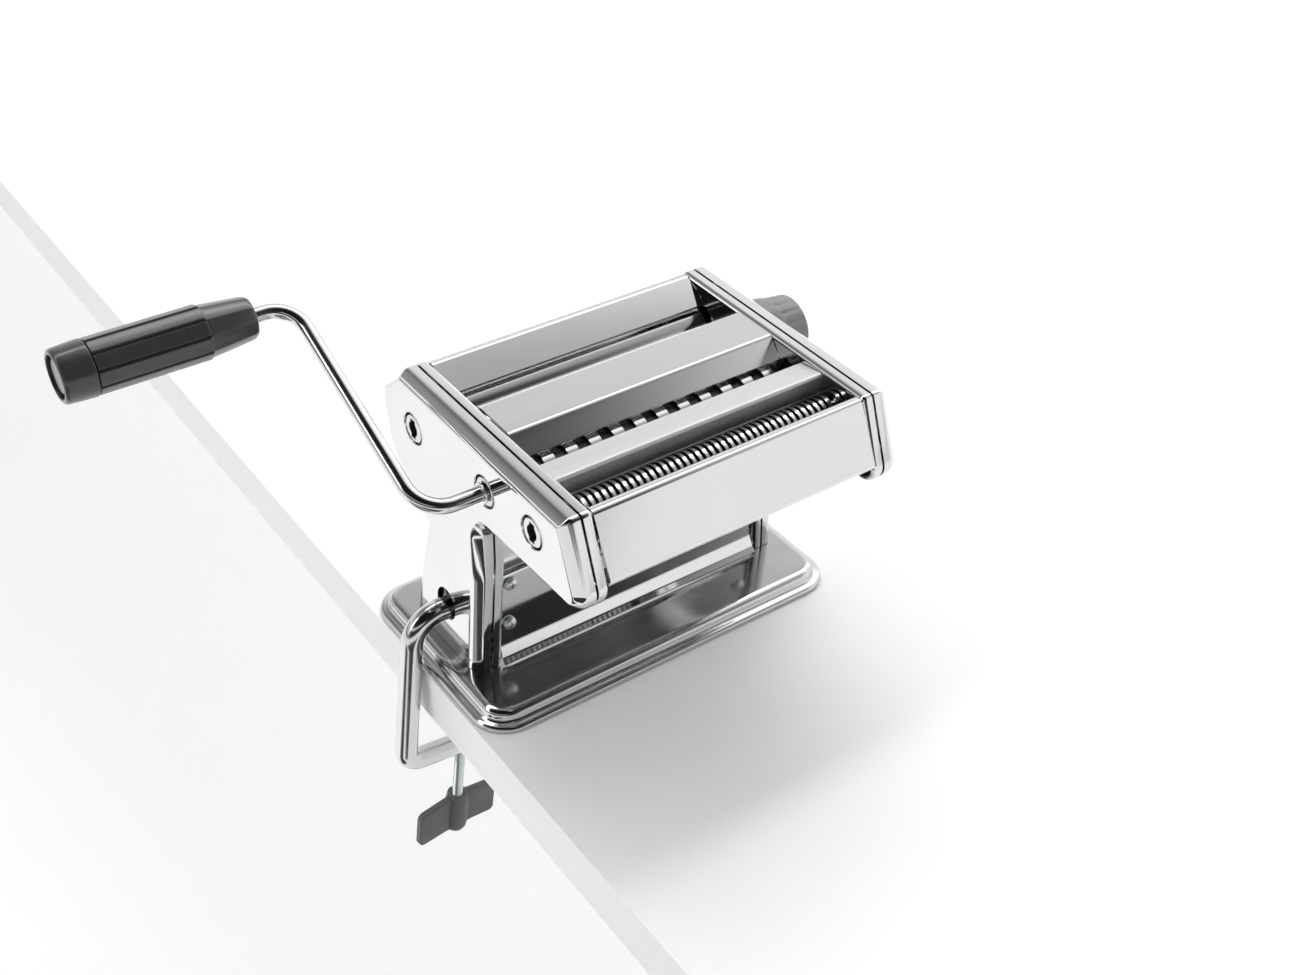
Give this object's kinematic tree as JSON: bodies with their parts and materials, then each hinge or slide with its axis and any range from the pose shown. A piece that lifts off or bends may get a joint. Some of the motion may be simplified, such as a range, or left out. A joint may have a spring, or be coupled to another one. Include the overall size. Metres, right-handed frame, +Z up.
{
  "type": "pasta machine",
  "caption": "Hand-cranked table pasta machine: smooth rollers with a thickness knob, two noodle cutters, chromed T-shaped side plates, tray base and screw clamp.",
  "frame": {"origin": "centre of the underside of the base, where it stands on the table", "axes": "+Z up, +X along the rollers from the crank to the regulator knob, -Y towards the front panel"},
  "size_m": [0.3612, 0.2021, 0.3346],
  "materials": {
    "chrome_steel": "polished chrome plate on pressed steel",
    "sheet_steel": "plain sheet and spring steel",
    "roller_steel": "ground steel rollers",
    "gear_steel": "plain cut gears",
    "zinc_plated": "zinc-plated steel",
    "brass": "turned brass",
    "bearing_plastic": "natural nylon",
    "dark_plastic": "dark grey moulded plastic",
    "grey_plastic": "mid grey moulded plastic"
  },
  "bodies": {
    "chassis": {"base_cover": "chrome_steel", "base_plate": "sheet_steel", "base_screw_lf": "zinc_plated", "base_screw_lr": "zinc_plated", "base_screw_rf": "zinc_plated", "base_screw_rr": "zinc_plated", "cross_plate": "chrome_steel", "front_panel": "chrome_steel", "guide_bar": "chrome_steel", "left_cover": "chrome_steel", "left_cutter_bearing": "bearing_plastic", "left_frame": "chrome_steel", "left_roller_bush": "brass", "middle_bar": "chrome_steel", "narrow_comb_front": "sheet_steel", "narrow_comb_rear": "sheet_steel", "plate_screw_left_lower": "zinc_plated", "plate_screw_left_upper": "zinc_plated", "plate_screw_right_lower": "zinc_plated", "plate_screw_right_upper": "zinc_plated", "rear_panel": "chrome_steel", "right_cover": "chrome_steel", "right_cutter_bearing": "bearing_plastic", "right_frame": "chrome_steel", "right_roller_bush": "brass", "scraper_front": "sheet_steel", "scraper_rear": "sheet_steel", "tie_rod_middle": "zinc_plated", "tie_rod_rear": "zinc_plated", "wide_comb_front": "sheet_steel", "wide_comb_rear": "sheet_steel"},
    "smooth_drive": {"smooth_drive_roller": "roller_steel", "smooth_drive_gear": "gear_steel"},
    "carriage": {"left_bearing_block": "brass", "right_bearing_block": "brass", "carriage_tie_bar": "zinc_plated"},
    "smooth_adjust": {"smooth_adjust_roller": "roller_steel", "smooth_adjust_gear": "gear_steel"},
    "regulator": {"regulator_spindle": "sheet_steel", "knob_spring": "sheet_steel"},
    "knob": {"regulator_knob": "grey_plastic", "regulator_knob_cap": "grey_plastic"},
    "wide_drive": {"wide_drive_cutter": "roller_steel", "wide_drive_gear": "gear_steel"},
    "wide_mate": {"wide_mate_cutter": "roller_steel", "wide_mate_gear": "gear_steel"},
    "narrow_drive": {"narrow_drive_cutter": "roller_steel", "narrow_drive_gear": "gear_steel"},
    "narrow_mate": {"narrow_mate_cutter": "roller_steel", "narrow_mate_gear": "gear_steel"},
    "crank": {"crank_rod": "chrome_steel", "crank_collar": "chrome_steel"},
    "handgrip": {"grip": "dark_plastic", "grip_end_cap": "dark_plastic"},
    "clamp": {"clamp_frame": "chrome_steel"},
    "clamp_foot": {"clamp_pad": "zinc_plated"},
    "clamp_wing": {"clamp_screw": "zinc_plated", "clamp_wing_knob": "dark_plastic"}
  },
  "joints": [
    {"name": "smooth_drive_spin", "type": "hinge", "parent": "chassis", "child": "smooth_drive", "pos_m": [0, 0.0283, 0.1285], "axis": [1, 0, 0], "continuous": true},
    {"name": "carriage_slide", "type": "slide", "parent": "chassis", "child": "carriage", "axis": [0, -0.9976, 0.0698], "range_m": [0, 0.00275]},
    {"name": "smooth_adjust_spin", "type": "hinge", "parent": "carriage", "child": "smooth_adjust", "pos_m": [0, 0.00156, 0.13037], "axis": [1, 0, 0], "continuous": true},
    {"name": "regulator_turn", "type": "hinge", "parent": "chassis", "child": "regulator", "pos_m": [0, 0.00017, 0.13047], "axis": [1, 0, 0], "range_deg": [0, 270.2]},
    {"name": "knob_pull", "type": "slide", "parent": "regulator", "child": "knob", "axis": [1, 0, 0], "range_m": [0, 0.004], "stiffness_N_per_m": 800, "springref_m": -0.01},
    {"name": "wide_drive_spin", "type": "hinge", "parent": "chassis", "child": "wide_drive", "pos_m": [0, -0.0377, 0.1324], "axis": [1, 0, 0], "continuous": true},
    {"name": "wide_mate_spin", "type": "hinge", "parent": "chassis", "child": "wide_mate", "pos_m": [0, -0.05625, 0.1337], "axis": [1, 0, 0], "continuous": true},
    {"name": "narrow_drive_spin", "type": "hinge", "parent": "chassis", "child": "narrow_drive", "pos_m": [0, -0.0779, 0.1354], "axis": [1, 0, 0], "continuous": true},
    {"name": "narrow_mate_spin", "type": "hinge", "parent": "chassis", "child": "narrow_mate", "pos_m": [0, -0.09546, 0.13663], "axis": [1, 0, 0], "continuous": true},
    {"name": "crank_pull", "type": "slide", "parent": "wide_drive", "child": "crank", "axis": [-1, 0, 0], "range_m": [0, 0.03]},
    {"name": "grip_spin", "type": "hinge", "parent": "crank", "child": "handgrip", "pos_m": [0, 0.0735, 0.1872], "axis": [1, 0, 0], "continuous": true},
    {"name": "clamp_pull", "type": "slide", "parent": "chassis", "child": "clamp", "axis": [-0.994, 0, 0.1097], "range_m": [0, 0.045]},
    {"name": "clamp_foot_travel", "type": "slide", "parent": "clamp", "child": "clamp_foot", "axis": [0.1097, 0, 0.994], "range_m": [-0.0138, 0.0218]},
    {"name": "clamp_wing_turn", "type": "hinge", "parent": "clamp_foot", "child": "clamp_wing", "pos_m": [-0.09693, 0.0036, -0.11782], "axis": [0.1097, 0, 0.994], "range_deg": [-4970, 7850]}
  ],
  "couplings": [
    {"joint": "smooth_adjust_spin", "follows": "smooth_drive_spin", "ratio": -1},
    {"joint": "wide_mate_spin", "follows": "wide_drive_spin", "ratio": -1},
    {"joint": "narrow_mate_spin", "follows": "narrow_drive_spin", "ratio": -1},
    {"joint": "regulator_turn", "follows": "carriage_slide", "rad_per_m": 1713.6},
    {"joint": "clamp_wing_turn", "follows": "clamp_foot_travel", "rad_per_m": 6283.2}
  ]
}
